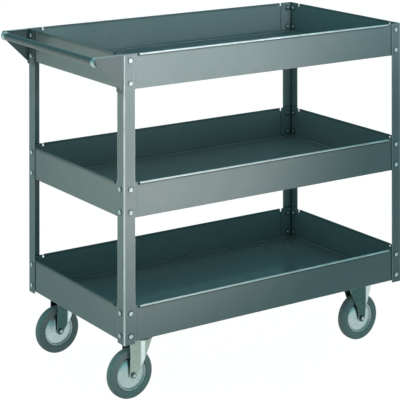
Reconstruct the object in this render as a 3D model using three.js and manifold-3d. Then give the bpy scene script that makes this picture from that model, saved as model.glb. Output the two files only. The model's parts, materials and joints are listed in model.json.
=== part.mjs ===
// Tool cart: three open steel trays bolted to four angle posts, a push handle on the rear end,
// two swivel casters under the rear and two fixed casters under the front.
//
// Millimetres. The origin is on the floor under the middle of the overall length, handle included.
// +X points to the front (the fixed casters), +Y is the left side for someone pushing, +Z is up.

import * as THREE from 'three';
import { mergeVertices } from 'three/addons/utils/BufferGeometryUtils.js';
import Module from 'manifold-3d';

const wasm = await Module();
wasm.setup();

// Overall size, over the posts
const LENGTH = 914;
const DEPTH = 508;

// Distance from the middle of the posts back to the middle of the overall length
const MIDDLE_SHIFT = 41.75;

// Gap kept between pieces that touch on the real cart
const GAP = 0.3;

// How far a cutting shape runs past the face it opens
const CUT_PAST = 10;

// Corner posts, folded from sheet
const POST_FLANGE = 33;
const POST_SHEET = 2;
const POST_BEND = 3.5;
const POST_DROP = 4.5;

// Trays
const RIM_HEIGHTS = { top: 888, middle: 565, bottom: 255 };
const TRAY_WALL = 90;
const TRAY_SHEET = 1.5;
const TRAY_CORNER = 3.5;
const BEAD_RADIUS = 2.8;
const NOTCH_INSET = 41;
const NOTCH_WIDTH = 5;
const NOTCH_DEPTH = 9;

// Bolts that hold the trays to the posts
const BOLT_INSET = 19;
const BOLT_EDGE = 16.5;
const BOLT_RADIUS = 3;
const BOLT_HOLE = 3.5;
const BOLT_HEAD = 6.2;
const BOLT_HEAD_HEIGHT = 3.2;
const BOLT_NUT = 5.8;
const BOLT_NUT_HEIGHT = 4.8;
const BOLT_END = 2;
const BOLT_HEAD_CROWN = 0.7;
const BOLT_HEAD_SHOULDER = 0.8;

// Handle
const BRACKET_SHEET = 2;
const BRACKET_REACH = 82;
const BRACKET_HEIGHT = 97;
const BRACKET_NOSE = 19;
const BRACKET_NOSE_ROUND = 5;
const BRACKET_TOE = 6;
const BAR_RADIUS = 10;
const BAR_WALL = 1.6;
const BAR_INSET = 7;
const BAR_DROP = 14;
const COLLAR_LENGTH = 18;
const COLLAR_WALL = 1.7;

// Wheels and axles
const WHEEL_RADIUS = 63.5;
const DISC_RADIUS = 43;
const HUB_HALF = 15;
const HUB_RADIUS = 9;
const DOME_RADIUS = 38;
const DOME_HIGH = 14.4;
const DOME_LOW = 7.2;
const SEAT_HALF = 9.6;
const TYRE_HALF = 12.5;
const TYRE_BULGE = 5;
const TREAD_HALF = 6.5;
const AXLE_RADIUS = 4;
const SLEEVE_RADIUS = 5.6;
const AXLE_HEX = 7.5;
const AXLE_HEAD_HEIGHT = 5.5;
const AXLE_NUT_HEIGHT = 6.5;
const AXLE_END = 1.5;

// Facets of round shapes, by size
const HOLE_SIDES = 8;
const PIN_SIDES = 12;
const TUBE_SIDES = 18;
const WHEEL_SIDES = 28;

// Caster forks and plates
const FORK_INSIDE = 16;
const FORK_SHEET = 2.5;
const FORK_FOOT = 10.5;
const FORK_TAPER = 1.5;

// Wings of the fork legs, folded inwards about a vertical crease, measured from the axle
const SWIVEL_CREASE = 30;
const SWIVEL_FOLD = 21;
const SWIVEL_WING_REACH = 64;
const SWIVEL_WING_FOOT = 94;
const SWIVEL_FOOT_END = 330;
const FIXED_CREASE = 12;
const FIXED_FOLD = 14;
const FIXED_WING = [[0, 86], [10.8, 111], [24.7, 139], [26.3, 163.4], [0, 163.4]];
const PLATE_LENGTH = 95;
const PLATE_WIDTH = 70;
const PLATE_SHEET = 2.5;
const PLATE_HOLE = 4.2;
const PLATE_HOLE_X = 36;
const PLATE_HOLE_Y = 24;
const CASTER_INSET_Y = 63.5;
const SWIVEL_WHEEL_INSET = 53.5;
const FIXED_WHEEL_INSET = 107.5;
const SWIVEL_TRAIL = 32;
const CROWN_RADIUS = 34;
const CROWN_TOP = 152.2;
const KINGPIN_RADIUS = 5.3;
const KINGPIN_HOLE = 5.7;
const KINGPIN_HEAD = 10;
const KINGPIN_HEAD_HEIGHT = 5;
const KINGPIN_CHAMFER = 2;
const RACE_INNER = 14;
const RACE_OUTER = 27;
const RACE_WAIST = 3;

// Lengths of the tools that cut holes, long enough to pass through what they cut
const SHEET_CUT = 12;
const TRAY_CUT = 20;
const PLATE_CUT = 20;
const FORK_CUT = 60;

// Places worked out from the sizes above
const TRAY_HALF_X = LENGTH / 2 - POST_SHEET - GAP;
const TRAY_HALF_Y = DEPTH / 2 - POST_SHEET - GAP;
const UNDERSIDE = RIM_HEIGHTS.bottom - TRAY_WALL;
const PLATE_TOP = UNDERSIDE - GAP;
const PLATE_BOTTOM = PLATE_TOP - PLATE_SHEET;
const FORK_OUTSIDE = FORK_INSIDE + FORK_SHEET;
const CASTER_Y = DEPTH / 2 - CASTER_INSET_Y;
const SWIVEL_X = -LENGTH / 2 + SWIVEL_WHEEL_INSET + SWIVEL_TRAIL;
const FIXED_X = LENGTH / 2 - FIXED_WHEEL_INSET;

const CORNERS = [
  { end: 'rear', side: 'right', sx: -1, sy: -1 },
  { end: 'rear', side: 'left', sx: -1, sy: 1 },
  { end: 'front', side: 'right', sx: 1, sy: -1 },
  { end: 'front', side: 'left', sx: 1, sy: 1 },
];
const SIDES = [
  { side: 'right', sy: -1 },
  { side: 'left', sy: 1 },
];

const FINISHES = {
  enamel: { color: 0x8b9998, roughness: 0.42, metalness: 0.1 },
  zinc: { color: 0xc9cfd1, roughness: 0.3, metalness: 0.9 },
  steel: { color: 0xaeb6b8, roughness: 0.35, metalness: 0.9 },
  rubber: { color: 0x3f4a4e, roughness: 0.8, metalness: 0 },
};

const cart = new THREE.Group();

// ---- Shapes and joins -------------------------------------------------------------------

// Drops empty triangles and makes the faces point outwards.
function tidyMesh(geometry) {
  const bare = geometry.clone();
  bare.deleteAttribute('normal');
  bare.deleteAttribute('uv');
  const merged = mergeVertices(bare, 1e-4);
  const position = merged.getAttribute('position');
  const corners = [new THREE.Vector3(), new THREE.Vector3(), new THREE.Vector3()];
  const index = [];
  let volume = 0;
  for (let i = 0; i < merged.index.count; i += 3) {
    const ids = [0, 1, 2].map((k) => merged.index.getX(i + k));
    if (new Set(ids).size < 3) continue;
    corners.forEach((corner, k) => corner.fromBufferAttribute(position, ids[k]));
    volume += corners[0].dot(corners[1].clone().cross(corners[2]));
    index.push(...ids);
  }
  if (volume < 0) index.reverse();
  return { vertices: new Float32Array(position.array), index: new Uint32Array(index) };
}

function solid(geometry) {
  const { vertices, index } = tidyMesh(geometry);
  return new wasm.Manifold(new wasm.Mesh({ numProp: 3, vertProperties: vertices, triVerts: index }));
}

function geometryOf(body) {
  const mesh = body.getMesh();
  const geometry = new THREE.BufferGeometry();
  geometry.setAttribute('position', new THREE.BufferAttribute(new Float32Array(mesh.vertProperties), 3));
  geometry.setIndex(new THREE.BufferAttribute(new Uint32Array(mesh.triVerts), 1));
  const faceted = geometry.toNonIndexed();
  faceted.computeVertexNormals();
  return faceted;
}

function joined(bodies) {
  return bodies.reduce((whole, body) => whole.add(body));
}

function cut(body, tools) {
  return tools.reduce((rest, tool) => rest.subtract(tool), body);
}

// A box between two corners.
function block(low, high) {
  const size = high.map((value, k) => value - low[k]);
  const middle = high.map((value, k) => (value + low[k]) / 2);
  return solid(new THREE.BoxGeometry(...size).translate(...middle));
}

// Turns a shape drawn about +Y so that it lies about another axis.
function alongAxis(geometry, axis) {
  if (axis === 'z') return geometry.rotateX(Math.PI / 2);
  if (axis === 'x') return geometry.rotateZ(-Math.PI / 2);
  return geometry;
}

function rod(radius, length, axis, centre, sides = PIN_SIDES) {
  const geometry = new THREE.CylinderGeometry(radius, radius, length, sides);
  return solid(alongAxis(geometry, axis).translate(...centre));
}

// A body of revolution from [radius, height] points, with height measured along the axis.
function turned(profile, axis, centre, sides) {
  const points = profile.map(([radius, height]) => new THREE.Vector2(radius, height));
  const geometry = new THREE.LatheGeometry(points, sides);
  return solid(alongAxis(geometry, axis).translate(...centre));
}

function ring(inner, outer, low, high, axis, centre, sides) {
  const profile = [[inner, low], [outer, low], [outer, high], [inner, high], [inner, low]];
  return turned(profile, axis, centre, sides);
}

// Points on an arc, in degrees, both ends included.
function arc(x, y, radius, from, to, steps) {
  return Array.from({ length: steps + 1 }, (_, k) => {
    const angle = THREE.MathUtils.degToRad(from + ((to - from) * k) / steps);
    return [x + radius * Math.cos(angle), y + radius * Math.sin(angle)];
  });
}

function extrusion(outline, depth) {
  const shape = new THREE.Shape(outline.map(([x, y]) => new THREE.Vector2(x, y)));
  return new THREE.ExtrudeGeometry(shape, { depth, bevelEnabled: false });
}

// An XY outline drawn upwards between two heights.
function upright(outline, low, high) {
  return solid(extrusion(outline, high - low).translate(0, 0, low));
}

// An XZ outline drawn sideways between two Y values.
function sideways(outline, low, high) {
  return solid(extrusion(outline, high - low).rotateX(Math.PI / 2).translate(0, high, 0));
}

function add(name, body, finish, group = cart) {
  const mesh = new THREE.Mesh(geometryOf(body), new THREE.MeshStandardMaterial(FINISHES[finish]));
  mesh.name = name;
  group.add(mesh);
}

// ---- Frame ------------------------------------------------------------------------------

// Heights of the two bolts that a tray has at each corner.
function boltHeights(rim) {
  return [rim - BOLT_EDGE, rim - TRAY_WALL + BOLT_EDGE];
}

// The two bolt axes of one corner at one height: through the long side and through the end.
function boltHoles(corner, height, length) {
  const x = corner.sx * (LENGTH / 2 - BOLT_INSET);
  const y = corner.sy * (DEPTH / 2 - BOLT_INSET);
  return [
    rod(BOLT_HOLE, length, 'y', [x, (corner.sy * DEPTH) / 2, height], HOLE_SIDES),
    rod(BOLT_HOLE, length, 'x', [(corner.sx * LENGTH) / 2, y, height], HOLE_SIDES),
  ];
}

function post(corner) {
  const outline = [
    [POST_FLANGE, 0],
    ...arc(POST_BEND, POST_BEND, POST_BEND, 270, 180, 3),
    [0, POST_FLANGE],
    [POST_SHEET, POST_FLANGE],
    ...arc(POST_BEND, POST_BEND, POST_BEND - POST_SHEET, 180, 270, 2),
    [POST_FLANGE, POST_SHEET],
  ].map(([u, v]) => [corner.sx * (LENGTH / 2 - u), corner.sy * (DEPTH / 2 - v)]);
  const angle = upright(outline, UNDERSIDE - POST_DROP, RIM_HEIGHTS.top);
  const holes = Object.values(RIM_HEIGHTS)
    .flatMap(boltHeights)
    .flatMap((height) => boltHoles(corner, height, SHEET_CUT));
  return cut(angle, holes);
}

// A rectangle about the origin with rounded corners.
function roundedRectangle(halfX, halfY, radius, steps) {
  return [
    ...arc(halfX - radius, halfY - radius, radius, 0, 90, steps),
    ...arc(-halfX + radius, halfY - radius, radius, 90, 180, steps),
    ...arc(-halfX + radius, -halfY + radius, radius, 180, 270, steps),
    ...arc(halfX - radius, -halfY + radius, radius, 270, 360, steps),
  ];
}

// A rolled bead along the rim, between the notches, on all four walls.
function beads(rim) {
  const endX = LENGTH / 2 - NOTCH_INSET - NOTCH_WIDTH;
  const endY = DEPTH / 2 - NOTCH_INSET - NOTCH_WIDTH;
  const height = rim - BEAD_RADIUS;
  const out = BEAD_RADIUS / 2;
  return [-1, 1].flatMap((sign) => [
    rod(BEAD_RADIUS, 2 * endX, 'x', [0, sign * (TRAY_HALF_Y + out), height], HOLE_SIDES),
    rod(BEAD_RADIUS, 2 * endY, 'y', [sign * (TRAY_HALF_X + out), 0, height], HOLE_SIDES),
  ]);
}

function notches(rim) {
  const low = rim - NOTCH_DEPTH;
  const high = rim + CUT_PAST;
  return CORNERS.flatMap(({ sx, sy }) => {
    const x = sx * (LENGTH / 2 - NOTCH_INSET - NOTCH_WIDTH / 2);
    const y = sy * (DEPTH / 2 - NOTCH_INSET - NOTCH_WIDTH / 2);
    const half = NOTCH_WIDTH / 2;
    const wallX = sx * TRAY_HALF_X;
    const wallY = sy * TRAY_HALF_Y;
    return [
      block([x - half, wallY - CUT_PAST, low], [x + half, wallY + CUT_PAST, high]),
      block([wallX - CUT_PAST, y - half, low], [wallX + CUT_PAST, y + half, high]),
    ];
  });
}

// Four holes for the bolts of one caster plate.
function plateHoles(x, y, height, length) {
  return [-1, 1].flatMap((sx) =>
    [-1, 1].map((sy) =>
      rod(PLATE_HOLE, length, 'z', [x + sx * PLATE_HOLE_X, y + sy * PLATE_HOLE_Y, height], HOLE_SIDES)));
}

function tray(level) {
  const rim = RIM_HEIGHTS[level];
  const floor = rim - TRAY_WALL;
  const outline = roundedRectangle(TRAY_HALF_X, TRAY_HALF_Y, TRAY_CORNER, 2);
  const hollow = roundedRectangle(
    TRAY_HALF_X - TRAY_SHEET,
    TRAY_HALF_Y - TRAY_SHEET,
    TRAY_CORNER - TRAY_SHEET,
    2,
  );
  const outside = upright(outline, floor, rim);
  const inside = upright(hollow, floor + TRAY_SHEET, rim + CUT_PAST);
  const rolled = joined([outside, ...beads(rim)]);
  const holes = boltHeights(rim).flatMap((height) =>
    CORNERS.flatMap((corner) => boltHoles(corner, height, TRAY_CUT)));
  if (level === 'bottom') {
    SIDES.forEach(({ sy }) => {
      holes.push(...plateHoles(SWIVEL_X, sy * CASTER_Y, floor, SHEET_CUT));
      holes.push(...plateHoles(FIXED_X, sy * CASTER_Y, floor, SHEET_CUT));
    });
  }
  return cut(rolled, [inside, ...notches(rim), ...holes]);
}

// A round-head bolt with its nut done up inside the tray. Its origin is the outer face of the
// outermost sheet, +Z is outwards, and clamped is the thickness of the sheets it holds.
function trayBolt(clamped) {
  const nutTop = -clamped - GAP;
  const nutBottom = nutTop - BOLT_NUT_HEIGHT;
  const profile = [
    [0, nutBottom - BOLT_END],
    [BOLT_RADIUS, nutBottom - BOLT_END],
    [BOLT_RADIUS, GAP],
    [BOLT_HEAD, GAP],
    [BOLT_HEAD * BOLT_HEAD_CROWN, GAP + BOLT_HEAD_HEIGHT * BOLT_HEAD_SHOULDER],
    [0, GAP + BOLT_HEAD_HEIGHT],
  ];
  const bolt = turned(profile, 'z', [0, 0, 0], HOLE_SIDES);
  const nut = rod(BOLT_NUT, BOLT_NUT_HEIGHT, 'z', [0, 0, (nutTop + nutBottom) / 2], 6);
  return bolt.add(nut);
}

// The four bolts of the top tray at one corner: upper and lower, through the side and the end.
function cornerBolts(corner) {
  const sheets = POST_SHEET + GAP + TRAY_SHEET;
  const bracket = corner.end === 'rear' ? BRACKET_SHEET + GAP : 0;
  const inX = LENGTH / 2 - BOLT_INSET;
  const inY = DEPTH / 2 - BOLT_INSET;
  boltHeights(RIM_HEIGHTS.top).forEach((height, k) => {
    const level = ['upper', 'lower'][k];
    const sideHolder = new THREE.Group();
    sideHolder.position.set(corner.sx * inX, (corner.sy * DEPTH) / 2, height);
    sideHolder.rotation.x = (-corner.sy * Math.PI) / 2;
    add(`bolt_${corner.end}_${corner.side}_side_${level}`, trayBolt(sheets), 'zinc', sideHolder);
    const endHolder = new THREE.Group();
    endHolder.position.set(corner.sx * (LENGTH / 2 + bracket), corner.sy * inY, height);
    endHolder.rotation.y = (corner.sx * Math.PI) / 2;
    add(`bolt_${corner.end}_${corner.side}_end_${level}`, trayBolt(sheets + bracket), 'zinc', endHolder);
    cart.add(sideHolder, endHolder);
  });
}

// ---- Handle -----------------------------------------------------------------------------

// A flange against the rear post, and a tapered cheek in line with the side of the cart.
function handleBracket({ sy }) {
  const top = RIM_HEIGHTS.top;
  const back = -LENGTH / 2 - GAP;
  const nose = -LENGTH / 2 - BRACKET_REACH;
  const round = BRACKET_NOSE_ROUND;
  const cheek = [
    [back, top],
    ...arc(nose + round, top - round, round, 90, 180, 4),
    ...arc(nose + round, top - BRACKET_NOSE + round, round, 180, 225, 2),
    [back - BRACKET_SHEET, top - BRACKET_HEIGHT + BRACKET_TOE],
    [back - BRACKET_SHEET, top - BRACKET_HEIGHT],
    [back, top - BRACKET_HEIGHT],
  ];
  const outer = DEPTH / 2;
  const plate = sy > 0
    ? sideways(cheek, outer - BRACKET_SHEET, outer)
    : sideways(cheek, -outer, -outer + BRACKET_SHEET);
  const edges = [sy * outer, sy * (outer - POST_FLANGE)].sort((a, b) => a - b);
  const flange = block(
    [back - BRACKET_SHEET, edges[0], top - BRACKET_HEIGHT],
    [back, edges[1], top],
  );
  const y = sy * (outer - BOLT_INSET);
  const holes = boltHeights(top).map((height) =>
    rod(BOLT_HOLE, SHEET_CUT, 'x', [back, y, height], HOLE_SIDES));
  return cut(plate.add(flange), holes);
}

function addHandle() {
  const x = -LENGTH / 2 - BRACKET_REACH + BAR_INSET;
  const z = RIM_HEIGHTS.top - BAR_DROP;
  const end = DEPTH / 2 - BRACKET_SHEET - GAP;
  SIDES.forEach((hand) => {
    add(`handle_bracket_${hand.side}`, handleBracket(hand), 'enamel');
    const inner = BAR_RADIUS + GAP;
    const collar = ring(inner, inner + COLLAR_WALL, 0, COLLAR_LENGTH, 'y', [0, 0, 0], TUBE_SIDES);
    const shift = hand.sy > 0 ? end - COLLAR_LENGTH : -end;
    add(`handle_collar_${hand.side}`, collar.translate([x, shift, z]), 'zinc');
  });
  const bar = ring(BAR_RADIUS - BAR_WALL, BAR_RADIUS, -end, end, 'y', [x, 0, z], TUBE_SIDES);
  add('handle_bar', bar, 'enamel');
}

// ---- Casters ----------------------------------------------------------------------------

// Height of the domed disc above the wheel's middle plane at a radius.
function dome(radius) {
  return DOME_HIGH - (DOME_HIGH - DOME_LOW) * (radius / DOME_RADIUS) ** 2;
}

// Steel wheel centre: two domed discs on a long hub, as one body of revolution.
function wheelDisc(centre) {
  const bore = SLEEVE_RADIUS + GAP;
  const half = [
    [bore, HUB_HALF],
    [HUB_RADIUS, HUB_HALF],
    ...[HUB_RADIUS, DOME_RADIUS / 2, DOME_RADIUS * 0.8, DOME_RADIUS].map((r) => [r, dome(r)]),
    [DISC_RADIUS - GAP, SEAT_HALF],
  ];
  const mirrored = half.map(([radius, height]) => [radius, -height]).reverse();
  return turned([...half, ...mirrored, half[0]], 'y', centre, WHEEL_SIDES);
}

// Rubber tyre with rounded shoulders.
function tyre(centre) {
  const half = [
    [DISC_RADIUS, SEAT_HALF],
    [DISC_RADIUS + TYRE_BULGE, TYRE_HALF],
    [WHEEL_RADIUS - TYRE_BULGE, TYRE_HALF],
    [WHEEL_RADIUS, TREAD_HALF],
  ];
  const mirrored = half.map(([radius, height]) => [radius, -height]).reverse();
  return turned([...half, ...mirrored, half[0]], 'y', centre, WHEEL_SIDES);
}

// Axle bolt with its hex head on +Y, the nut on -Y, and the spacer sleeve between the fork legs.
function addAxle(kind, side, x, group) {
  const z = WHEEL_RADIUS;
  const head = FORK_OUTSIDE + GAP;
  const nutFar = -head - AXLE_NUT_HEIGHT;
  const shankEnd = nutFar - AXLE_END;
  const shank = rod(AXLE_RADIUS, head - shankEnd, 'y', [x, (head + shankEnd) / 2, z]);
  const hex = rod(AXLE_HEX, AXLE_HEAD_HEIGHT, 'y', [x, head + AXLE_HEAD_HEIGHT / 2, z], 6);
  add(`${kind}_axle_bolt_${side}`, shank.add(hex), 'zinc', group);
  const nut = rod(AXLE_HEX, AXLE_NUT_HEIGHT, 'y', [x, -head - AXLE_NUT_HEIGHT / 2, z], 6);
  const thread = rod(AXLE_RADIUS + GAP, FORK_CUT, 'y', [x, -head, z]);
  add(`${kind}_axle_nut_${side}`, nut.subtract(thread), 'zinc', group);
  const reach = FORK_INSIDE - GAP;
  const sleeve = ring(AXLE_RADIUS + GAP, SLEEVE_RADIUS, -reach, reach, 'y', [x, 0, z], PIN_SIDES);
  add(`${kind}_axle_sleeve_${side}`, sleeve, 'steel', group);
}

function addWheel(kind, side, x, group) {
  add(`${kind}_wheel_disc_${side}`, wheelDisc([x, 0, WHEEL_RADIUS]), 'zinc', group);
  add(`${kind}_tyre_${side}`, tyre([x, 0, WHEEL_RADIUS]), 'rubber', group);
}

function forkLegs(outline) {
  return joined([
    sideways(outline, FORK_INSIDE, FORK_OUTSIDE),
    sideways(outline, -FORK_OUTSIDE, -FORK_INSIDE),
  ]);
}

// One wing of a fork leg. The outline is drawn from the crease, as [distance, height].
function wing(outline, crease, fold, sx, sy) {
  const sheet = extrusion(outline, FORK_SHEET).rotateX(Math.PI / 2);
  sheet.rotateZ(-THREE.MathUtils.degToRad(fold)).translate(crease, FORK_OUTSIDE, 0);
  return sheet.scale(sx, sy, 1);
}

function mountingPlate() {
  return block(
    [-PLATE_LENGTH / 2, -PLATE_WIDTH / 2, PLATE_BOTTOM],
    [PLATE_LENGTH / 2, PLATE_WIDTH / 2, PLATE_TOP],
  );
}

// Fork of a swivel caster: a round crown and two legs, each a flat band down to the trailing axle
// with a wing folded inwards under the front of the crown.
function swivelFork() {
  const axleX = -SWIVEL_TRAIL;
  const crownBottom = CROWN_TOP - FORK_SHEET;
  const back = axleX - FORK_FOOT + FORK_TAPER;
  const outline = [
    [back, CROWN_TOP],
    ...arc(axleX, WHEEL_RADIUS, FORK_FOOT, 180, SWIVEL_FOOT_END, 6),
    [axleX + SWIVEL_CREASE, SWIVEL_WING_FOOT],
    [axleX + SWIVEL_CREASE, CROWN_TOP],
  ];
  const wingTop = CROWN_TOP - FORK_SHEET / 2;
  const fold = THREE.MathUtils.degToRad(SWIVEL_FOLD);
  const wingOutline = [
    [0, SWIVEL_WING_FOOT],
    [(SWIVEL_WING_REACH - SWIVEL_CREASE) / Math.cos(fold), wingTop],
    [0, wingTop],
  ];
  const wings = SIDES.map(({ sy }) =>
    solid(wing(wingOutline, SWIVEL_CREASE, SWIVEL_FOLD, 1, sy).translate(axleX, 0, 0)));
  const disc = rod(CROWN_RADIUS, FORK_SHEET, 'z', [0, 0, CROWN_TOP - FORK_SHEET / 2], WHEEL_SIDES);
  const bridge = block(
    [back, -FORK_OUTSIDE, crownBottom],
    [0, FORK_OUTSIDE, CROWN_TOP],
  );
  const fork = joined([forkLegs(outline), ...wings, disc, bridge]);
  return cut(fork, [
    rod(KINGPIN_HOLE, PLATE_CUT, 'z', [0, 0, CROWN_TOP]),
    rod(AXLE_RADIUS + GAP, FORK_CUT, 'y', [axleX, 0, WHEEL_RADIUS]),
  ]);
}

// Kingpin: a rivet through the plate, the ball race and the crown, with its head below.
function kingpin() {
  const headTop = CROWN_TOP - FORK_SHEET - GAP;
  const headBottom = headTop - KINGPIN_HEAD_HEIGHT;
  const profile = [
    [0, headBottom],
    [KINGPIN_HEAD - KINGPIN_CHAMFER, headBottom],
    [KINGPIN_HEAD, headBottom + KINGPIN_CHAMFER],
    [KINGPIN_HEAD, headTop],
    [KINGPIN_RADIUS, headTop],
    [KINGPIN_RADIUS, PLATE_TOP],
    [0, PLATE_TOP],
  ];
  return turned(profile, 'z', [0, 0, 0], PIN_SIDES);
}

// Ball race between the plate and the crown, waisted where the balls run.
function ballRace() {
  const low = CROWN_TOP + GAP;
  const high = PLATE_BOTTOM - GAP;
  const middle = (low + high) / 2;
  const profile = [
    [RACE_INNER, low],
    [RACE_OUTER, low],
    [RACE_OUTER - RACE_WAIST, middle],
    [RACE_OUTER, high],
    [RACE_INNER, high],
    [RACE_INNER, low],
  ];
  return turned(profile, 'z', [0, 0, 0], TUBE_SIDES);
}

function addSwivelCaster({ side, sy }) {
  const caster = new THREE.Group();
  caster.position.set(SWIVEL_X, sy * CASTER_Y, 0);
  const plate = cut(mountingPlate(), [
    ...plateHoles(0, 0, PLATE_TOP, PLATE_CUT),
    rod(KINGPIN_HOLE, PLATE_CUT, 'z', [0, 0, PLATE_TOP]),
  ]);
  add(`swivel_plate_${side}`, plate, 'zinc', caster);
  add(`swivel_race_${side}`, ballRace(), 'steel', caster);
  add(`swivel_kingpin_${side}`, kingpin(), 'zinc', caster);
  add(`swivel_fork_${side}`, swivelFork(), 'zinc', caster);
  addAxle('swivel', side, -SWIVEL_TRAIL, caster);
  addWheel('swivel', side, -SWIVEL_TRAIL, caster);
  cart.add(caster);
}

// Fork of a fixed caster: a plate and two legs, each a flat band with a wing folded in on both sides.
function fixedFork() {
  const legTop = PLATE_TOP - PLATE_SHEET / 2;
  const outline = [
    [-FIXED_CREASE, legTop],
    [-FIXED_CREASE, FIXED_WING[0][1]],
    ...arc(0, WHEEL_RADIUS, FORK_FOOT, 180, 360, 6),
    [FIXED_CREASE, FIXED_WING[0][1]],
    [FIXED_CREASE, legTop],
  ];
  const wings = SIDES.flatMap(({ sy }) =>
    [-1, 1].map((sx) => solid(wing(FIXED_WING, FIXED_CREASE, FIXED_FOLD, sx, sy))));
  return cut(joined([mountingPlate(), forkLegs(outline), ...wings]), [
    ...plateHoles(0, 0, PLATE_TOP, PLATE_CUT),
    rod(AXLE_RADIUS + GAP, FORK_CUT, 'y', [0, 0, WHEEL_RADIUS]),
  ]);
}

function addFixedCaster({ side, sy }) {
  const caster = new THREE.Group();
  caster.position.set(FIXED_X, sy * CASTER_Y, 0);
  add(`fixed_fork_${side}`, fixedFork(), 'zinc', caster);
  addAxle('fixed', side, 0, caster);
  addWheel('fixed', side, 0, caster);
  cart.add(caster);
}

// ---- Assembly ---------------------------------------------------------------------------

Object.keys(RIM_HEIGHTS).forEach((level) => add(`tray_${level}`, tray(level), 'enamel'));
CORNERS.forEach((corner) => {
  add(`post_${corner.end}_${corner.side}`, post(corner), 'enamel');
  cornerBolts(corner);
});
addHandle();
SIDES.forEach((hand) => {
  addSwivelCaster(hand);
  addFixedCaster(hand);
});
cart.position.x = MIDDLE_SHIFT;

export default cart;
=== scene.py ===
"""Looks for the tool cart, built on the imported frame.

Sizes are millimetres about the middle of the four posts, +X to the front (fixed casters), +Y to the
left, +Z up. Shell.mesh moves them by SHIFT into the cart's own frame and turns them into metres.
"""

import json
import math
import random

import bmesh
import bpy
from mathutils import Matrix, Vector


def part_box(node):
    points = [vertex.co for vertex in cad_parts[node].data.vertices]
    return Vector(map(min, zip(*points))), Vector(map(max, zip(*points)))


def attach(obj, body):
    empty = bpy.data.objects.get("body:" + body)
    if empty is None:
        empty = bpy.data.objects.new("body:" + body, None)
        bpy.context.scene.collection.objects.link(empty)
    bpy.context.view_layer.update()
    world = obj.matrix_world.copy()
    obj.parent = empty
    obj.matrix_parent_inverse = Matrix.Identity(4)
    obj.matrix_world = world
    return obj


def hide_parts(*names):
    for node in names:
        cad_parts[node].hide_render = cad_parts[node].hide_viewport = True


random.seed(7)
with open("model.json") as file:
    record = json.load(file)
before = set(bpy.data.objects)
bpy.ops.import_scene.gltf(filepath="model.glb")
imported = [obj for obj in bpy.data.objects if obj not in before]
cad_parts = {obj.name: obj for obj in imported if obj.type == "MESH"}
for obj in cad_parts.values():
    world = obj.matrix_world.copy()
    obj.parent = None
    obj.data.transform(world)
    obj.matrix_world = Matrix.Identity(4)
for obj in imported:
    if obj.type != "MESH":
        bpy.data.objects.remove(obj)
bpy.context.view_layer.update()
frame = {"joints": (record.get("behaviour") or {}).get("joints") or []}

MM = 0.001


def node_box(node):
    """The lowest and highest corners of a CAD node, in millimetres in the cart's own frame."""
    return [[round(value / MM, 2) for value in corner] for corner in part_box(node)]


def joint_place(name):
    """The point that a joint turns about, in millimetres in the cart's own frame."""
    joint = next(joint for joint in frame["joints"] if joint["name"] == name)
    return [round(value / MM, 2) for value in joint["pos_m"]]


# The gap that the CAD keeps between touching sheets
GAP = 0.3

# Posts
post_low_corner, post_high_corner = node_box("post_rear_right")[0], node_box("post_front_left")[1]
SHIFT = (post_low_corner[0] + post_high_corner[0]) / 2
HALF_X, HALF_Y = post_high_corner[0] - SHIFT, post_high_corner[1]
POST_LOW, POST_HIGH = post_low_corner[2], post_high_corner[2]
POST_FLANGE, POST_SHEET, POST_BEND = 33.0, 2.0, 3.5

# Trays
RIMS = {level: node_box(f"tray_{level}")[1][2] for level in ("top", "middle", "bottom")}
TRAY_WALL = RIMS["top"] - node_box("tray_top")[0][2]
TRAY_X, TRAY_Y = HALF_X - POST_SHEET - GAP, HALF_Y - POST_SHEET - GAP
TRAY_SHEET, TRAY_CORNER = 1.5, 3.5
FLOOR_BEND, BEND_STEPS = 4.5, 6
NOTCH_INSET, NOTCH_WIDTH, NOTCH_DEPTH = 41.0, 5.0, 9.0
BEAD, BEAD_OUT = 2.8, 1.4
TAB_SHEET, TAB_LENGTH, TAB_GAP = 1.4, 38.0, 0.1

# Tray bolts
BOLT_INSET, BOLT_EDGE = 19.0, 16.5
BOLT_HEAD, BOLT_HEIGHT, BOLT_SHANK = 6.1, 3.4, 3.0
BOLT_NUT, BOLT_NUT_HEIGHT, BOLT_END = 5.7, 4.8, 2.0
BOLT_LIFT = 0.06
SLOT_HALF, SLOT_DEPTH = 0.55, 1.3

# Handle
BRACKET_SHEET, REACH, BRACKET_HEIGHT, NOSE = 2.0, 82.0, 97.0, 19.0
CHEEK_CHAMFER, LIP_WIDTH, LIP_SHEET = 0.7, 7.0, 1.5
BAR_X, BAR_Z, BAR_RADIUS = -532.0, 874.0, 10.0
BAR_END = HALF_Y - BRACKET_SHEET - GAP
COLLAR_RADIUS, COLLAR_LENGTH = 11.75, 18.0
GROOVE_LOW, GROOVE_HIGH, GROOVE_DEPTH = 7.0, 8.2, 1.0

# Casters
kingpin_place = joint_place("swivel_left_turn")
SWIVEL_X, CASTER_Y = kingpin_place[0] - SHIFT, kingpin_place[1]
TRAIL = kingpin_place[0] - joint_place("swivel_wheel_left_spin")[0]
axle_place = joint_place("fixed_wheel_left_spin")
FIXED_X, AXLE_Z = axle_place[0] - SHIFT, axle_place[2]
WHEEL, DISC = AXLE_Z, 42.7
PLATE_X, PLATE_Y, PLATE_CORNER = 47.5, 35.0, 7.0
PLATE_LOW, PLATE_HIGH = 162.2, 164.7
CROWN_LOW, CROWN_HIGH = 149.7, 152.2
LEG_OUT, LEG_SHEET, LEG_STEPS = 18.5, 2.4, 28
FOOT = 10.5
FOOT_HEIGHTS = [AXLE_Z - drop for drop in (0.0, 2.5, 5.0, 7.0, 8.5, 9.5, 10.1, 10.44)]
HOLE_X, HOLE_Y = 36.0, 24.0
AXLE_NUT, AXLE_HOLE = 7.3, 4.25
RACE_BALLS, RACE_BALL, RACE_TRACK, RACE_Z = 22, 2.3, 23.9, 157.2

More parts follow.
